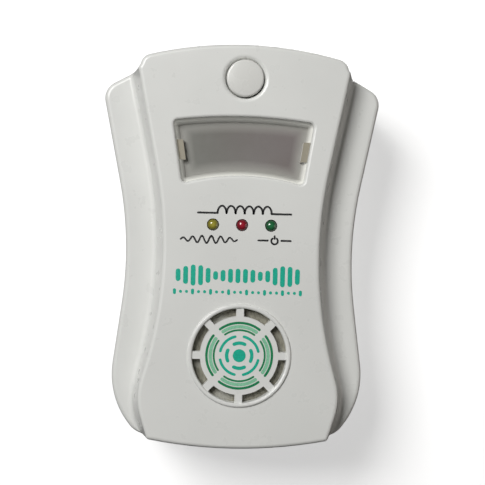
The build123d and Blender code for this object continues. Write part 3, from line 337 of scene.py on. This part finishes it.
def stroke(points, width):
    """A ribbon of constant width along a polyline, with round ends, as one closed loop of (x, z) points."""
    path = [Vector(p) for p in points]
    left, right = [], []
    for i, here in enumerate(path):
        before = path[max(i - 1, 0)]
        after = path[min(i + 1, len(path) - 1)]
        along = (after - before).normalized()
        side = Vector((-along.y, along.x)) * width / 2
        left.append(here + side)
        right.append(here - side)
    start = (path[0] - path[1]).normalized()
    end = (path[-1] - path[-2]).normalized()
    return left + cap(path[-1], end, width) + right[::-1] + cap(path[0], start, width)


def cap(centre, direction, width, steps=5):
    """The inner points of a round end, turned clockwise from the left side of its direction."""
    angles = [pi / 2 - pi * k / (steps + 1) for k in range(1, steps + 1)]
    side = Vector((-direction.y, direction.x))
    return [centre + (direction * cos(a) + side * sin(a)) * width / 2 for a in angles]


def ring_arc(radius, width, start, end, centre=(0.0, 0.0), step=4.0):
    """An arc-shaped ribbon between two angles in degrees."""
    count = max(2, int(abs(end - start) / step) + 1)
    turns = [radians(start + (end - start) * k / (count - 1)) for k in range(count)]
    return stroke([(centre[0] + radius * cos(t), centre[1] + radius * sin(t)) for t in turns], width)


def dash(x, z, width, height):
    """A vertical bar with round ends."""
    reach = max(height - width, 0.02) / 2
    return stroke([(x, z - reach), (x, z + reach)], width)


def printed(name, loops, material):
    """Thin film of ink on the panel, from closed loops of (x, z) points in millimetres."""
    film = bmesh.new()
    for loop in loops:
        corners = [film.verts.new((x * MM, panel_y + INK_BITE, z * MM)) for x, z in loop]
        face = film.faces.new(corners)
        if face.normal.y > 0:
            face.normal_flip()
        raised = bmesh.ops.extrude_face_region(film, geom=[face])["geom"]
        moved = [v for v in raised if isinstance(v, bmesh.types.BMVert)]
        bmesh.ops.translate(film, verts=moved, vec=(0, -INK_FILM - INK_BITE, 0))
    bmesh.ops.recalc_face_normals(film, faces=film.faces)
    mesh = bpy.data.meshes.new(name)
    film.to_mesh(mesh)
    film.free()
    mesh.materials.append(material)
    piece = bpy.data.objects.new(name, mesh)
    bpy.context.scene.collection.objects.link(piece)
    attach(piece, "case")


def coil_symbol(x, z, width, height, humps=6, line=0.52):
    """A drawn coil: a row of round humps between two straight leads."""
    pitch = height * 1.25
    radius = pitch / 2 - 0.04
    foot = z - height / 2
    loops = []
    for hump in range(humps):
        centre = x + pitch * (hump - (humps - 1) / 2)
        turns = [pi * k / 14 for k in range(15)]
        bow = [(centre + radius * cos(t), foot + height * sin(t)) for t in turns]
        loops.append(stroke(bow, line))
    reach = humps * pitch / 2
    loops.append(stroke([(x - width / 2, foot), (x - reach, foot)], line))
    loops.append(stroke([(x + reach, foot), (x + width / 2, foot)], line))
    return loops


def burst_symbol(x, z, width, height, waves=6, line=0.45):
    """A burst of sound: a sine wave that swells and fades."""
    count = waves * 16
    points = []
    for step in range(count + 1):
        share = step / count
        swell = 0.3 + 0.7 * sin(pi * share)
        rise = height / 2 * swell * sin(2 * pi * waves * share)
        points.append((x + width * (share - 0.5), z + rise))
    return [stroke(points, line)]


def power_symbol(x, z, width, height, line=0.5):
    """An open ring with a bar in its gap, between two short rules."""
    radius = height / 2 - line / 2 + 0.1
    rule = (width - height) / 2 - 0.8
    return [
        ring_arc(radius, line, 130, 410, (x, z - 0.1)),
        dash(x, z + 0.42 * height, line, 0.6 * height),
        stroke([(x - width / 2, z), (x - width / 2 + rule, z)], line),
        stroke([(x + width / 2 - rule, z), (x + width / 2, z)], line),
    ]


def sound_bars(x, z, width, height, count=17, bar=1.25):
    """A row of upright bars whose heights follow two overlapping waves."""
    loops = []
    for k in range(count):
        share = k / (count - 1)
        level = 0.36 + 0.64 * abs(sin(2.6 * pi * share + 0.5)) * (0.75 + 0.25 * sin(9.0 * share))
        loops.append(dash(x + (width - bar) * (share - 0.5), z, bar, height * level))
    return loops


def dotted_rule(x, z, width, count=22, size=0.8):
    """A row of dots, every third of which is taller."""
    loops = []
    for k in range(count):
        height = size * (1.0 if k % 3 else 1.9)
        loops.append(dash(x + width * (k / (count - 1) - 0.5), z, size, height))
    return loops


def disc(radius, centre, steps=40):
    """A round spot, as a closed loop."""
    turns = [2 * pi * k / steps for k in range(steps)]
    return [(centre[0] + radius * cos(t), centre[1] + radius * sin(t)) for t in turns]


def ripple_rings(z, rings):
    """Concentric rings, each broken into four arcs and given as (radius, width, gap, turn).
    The gap and the turn are in degrees."""
    loops = []
    for radius, width, gap, turn in rings:
        for quarter in range(4):
            start = turn + 90 * quarter + gap / 2
            loops.append(ring_arc(radius, width, start, start + 90 - gap, (0, z)))
    return loops


LAMP_Z = lamp_z / MM
GRILLE_Z = grille_z / MM
printed("coil_symbol", coil_symbol(0.6, LAMP_Z + 4.0, 24.4, 1.9), black_ink)
printed("burst_symbol", burst_symbol(-8.6, LAMP_Z - 3.9, 14.7, 2.0), black_ink)
printed("power_symbol", power_symbol(8.6, LAMP_Z - 3.9, 8.5, 2.0), black_ink)
printed("sound_bars", sound_bars(-0.8, LAMP_Z - 13.3, 32.5, 5.6), teal_ink)
printed("dotted_rule", dotted_rule(-0.8, LAMP_Z - 17.6, 33.0), teal_ink)
printed("emblem_centre", [disc(1.7, (0, GRILLE_Z))], teal_ink)
inner_rings = ripple_rings(GRILLE_Z, [(3.3, 0.9, 40, 45), (5.1, 0.7, 26, 0)])
outer_rings = ripple_rings(GRILLE_Z, [(6.7, 0.5, 20, 45), (8.6, 0.65, 16, 45)])
band = ripple_rings(GRILLE_Z, [(7.6, 0.9, 20, 45)])
printed("emblem_inner_rings", inner_rings, teal_ink)
printed("emblem_outer_rings", outer_rings, green_ink)
printed("emblem_band", band, pale_ink)

# ---------------------------------------------------------------- backdrop, lights and camera

SENSOR_WIDTH = 36.0
WALL_Y = 0.001
WALL_SIZE = 6.0


def backdrop():
    """A pale wall behind the object. Its back is clear, so that the object can be seen from behind."""
    bpy.ops.mesh.primitive_plane_add(size=WALL_SIZE, location=(0, WALL_Y, 0), rotation=(pi / 2, 0, 0))
    wall = bpy.context.object
    wall.name = "backdrop"
    s = Shader("backdrop").set(Roughness=0.9, Specular_IOR_Level=0.1)
    s.colour(s.mix(s.noise(6.0), (0.72, 0.72, 0.72), (0.74, 0.74, 0.74)))
    s.set(Emission_Color=(1.0, 1.0, 1.0, 1.0), Emission_Strength=0.53)
    geometry = s.add("ShaderNodeNewGeometry")
    clear = s.add("ShaderNodeBsdfTransparent")
    choice = s.add("ShaderNodeMixShader")
    s.link(geometry.outputs["Backfacing"], choice.inputs["Fac"])
    s.link(s.surface.outputs[0], choice.inputs[1])
    s.link(clear.outputs[0], choice.inputs[2])
    s.link(choice.outputs[0], s.tree.nodes["Material Output"].inputs["Surface"])
    wall.data.materials.append(s.material)
    wall.visible_diffuse = False
    wall.visible_glossy = False
    wall.visible_shadow = False


def soft_light(name, place, size, power, colour=(1.0, 1.0, 1.0)):
    """A square area light that faces the middle of the object."""
    data = bpy.data.lights.new(name, "AREA")
    data.size = size
    data.energy = power
    data.color = colour
    light = bpy.data.objects.new(name, data)
    light.location = place
    light.rotation_euler = (-Vector(place)).to_track_quat("-Z", "Y").to_euler()
    bpy.context.scene.collection.objects.link(light)


def world(from_left, from_right):
    """A dim grey room, a little brighter on the left than on the right."""
    room = bpy.data.worlds.new("studio")
    room.use_nodes = True
    tree = room.node_tree
    place = tree.nodes.new("ShaderNodeTexCoord")
    axes = tree.nodes.new("ShaderNodeSeparateXYZ")
    strength = tree.nodes.new("ShaderNodeMapRange")
    ends = {"From Min": -0.8, "From Max": 0.8, "To Min": from_left, "To Max": from_right}
    for key, value in ends.items():
        strength.inputs[key].default_value = value
    tree.links.new(place.outputs["Generated"], axes.inputs[0])
    tree.links.new(axes.outputs["X"], strength.inputs["Value"])
    tree.links.new(strength.outputs["Result"], tree.nodes["Background"].inputs["Strength"])
    bpy.context.scene.world = room


def camera(azimuth, elevation, roll, distance, aim, view_width):
    """A camera that looks at aim. A negative azimuth is left of the front, and elevation is above it."""
    turn = Euler((radians(90 - elevation), 0, radians(azimuth)), "XYZ").to_matrix()
    data = bpy.data.cameras.new("camera")
    data.sensor_width = SENSOR_WIDTH
    data.lens = SENSOR_WIDTH * distance / view_width
    data.clip_start = 0.01
    eye = bpy.data.objects.new("camera", data)
    eye.matrix_world = Matrix.Translation(Vector(aim) + turn @ Vector((0, 0, distance))) @ (
        turn @ Matrix.Rotation(radians(roll), 3, "Z")
    ).to_4x4()
    bpy.context.scene.collection.objects.link(eye)
    bpy.context.scene.camera = eye


backdrop()
soft_light("key", (-0.34, -0.64, 0.31), 0.34, 5.7, (1.0, 0.997, 0.99))
soft_light("fill", (0.7, -0.24, -0.05), 0.5, 0.9, (1.0, 0.95, 0.89))
soft_light("rear", (0.4, 0.8, 0.5), 0.6, 6.0)
world(0.66, 0.32)
camera(
    azimuth=-3.5,
    elevation=1.0,
    roll=1.28,
    distance=0.30,
    aim=(0.0002, panel_y, 0.0013),
    view_width=0.1268,
)

view = bpy.context.scene.view_settings
view.view_transform = "Standard"
view.look = "None"
